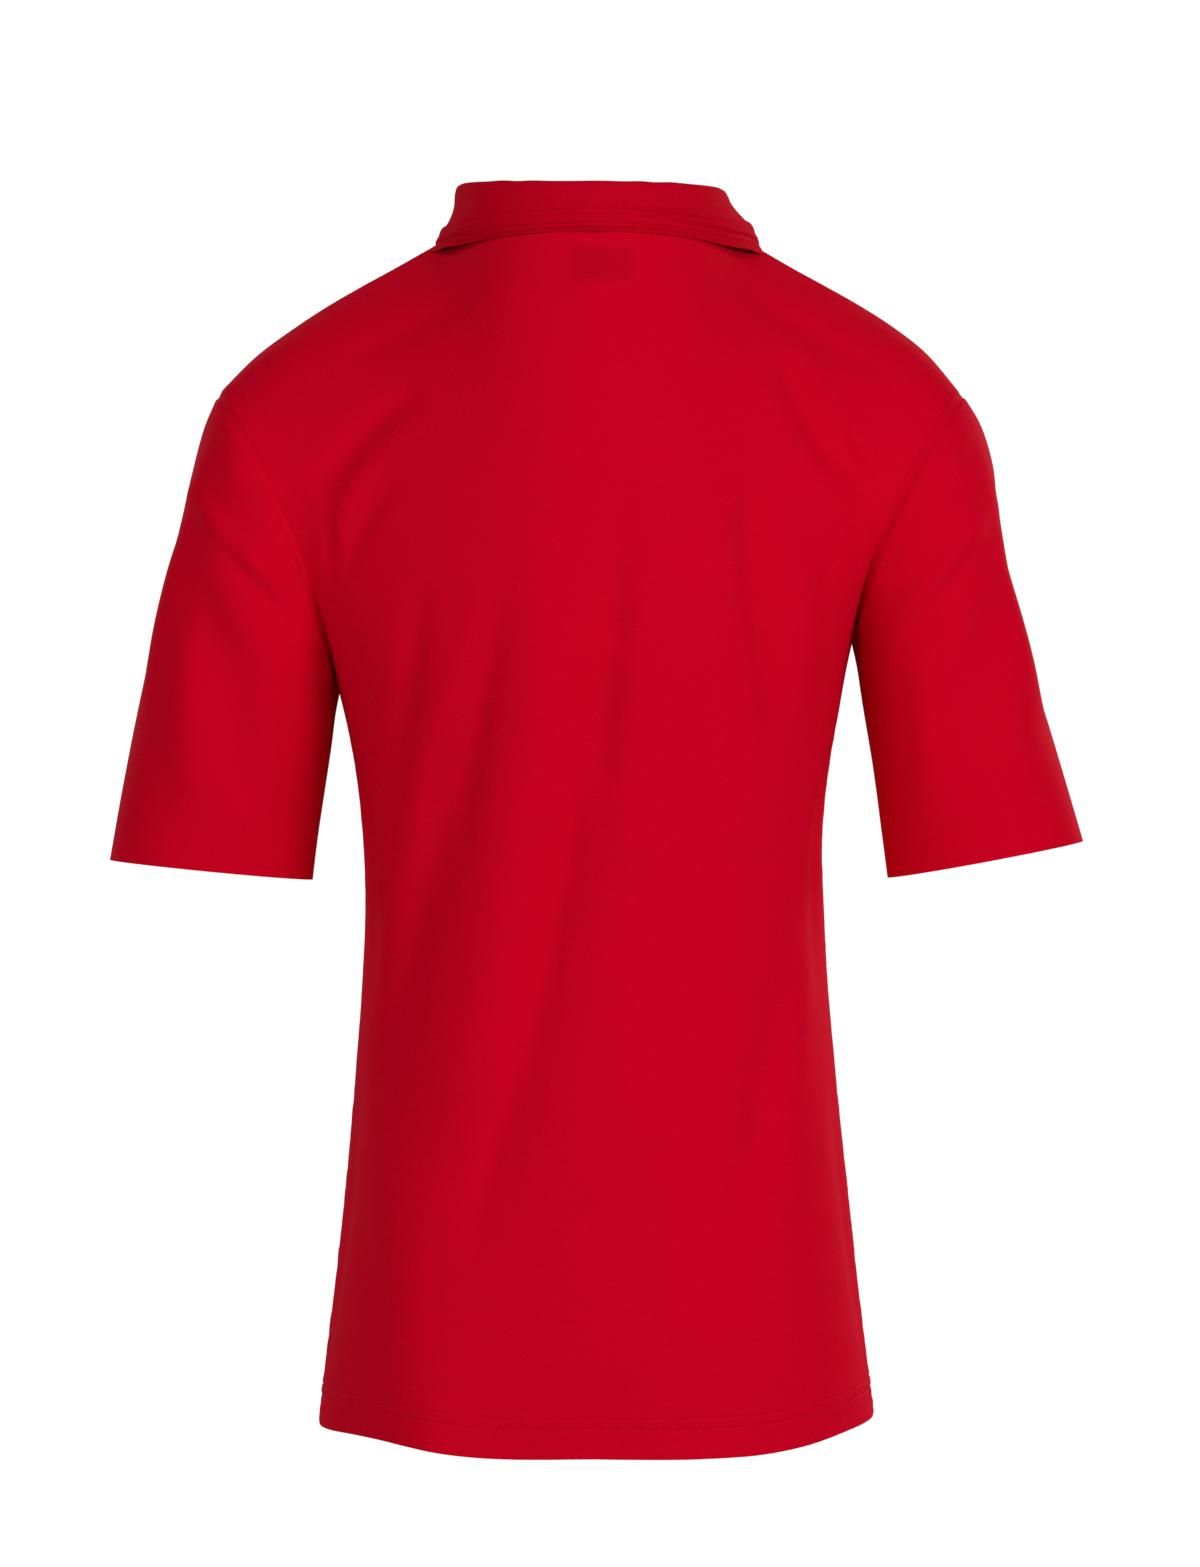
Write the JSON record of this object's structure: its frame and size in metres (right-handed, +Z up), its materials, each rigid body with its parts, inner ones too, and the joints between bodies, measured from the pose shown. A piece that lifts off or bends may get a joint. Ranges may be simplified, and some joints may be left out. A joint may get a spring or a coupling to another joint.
{
  "type": "pique polo shirt",
  "caption": "Short-sleeved knit polo shirt in its worn, hollow form, with a flat-knit fold-down collar and a buttoned neck placket.",
  "frame": {"origin": "middle of the neck opening, level with the high points of the shoulders, where the neck and shoulders of whoever wears it hold the shirt up", "axes": "+Z up, from the hem to the neck; +Y towards the front of the shirt, so the back faces -Y; +X towards the wearer's right"},
  "size_m": [0.5886, 0.2744, 0.7525],
  "materials": {
    "pique": "matt cotton pique knit",
    "rib_knit": "matt flat rib knit",
    "button_resin": "dyed resin, satin"
  },
  "bodies": {
    "root": {"back": "pique", "front": "pique", "sleeve_left": "pique", "sleeve_right": "pique", "placket_upper": "pique", "placket_under": "pique", "collar": "rib_knit", "button_1": "button_resin", "button_2": "button_resin", "button_3": "button_resin"}
  },
  "joints": []
}
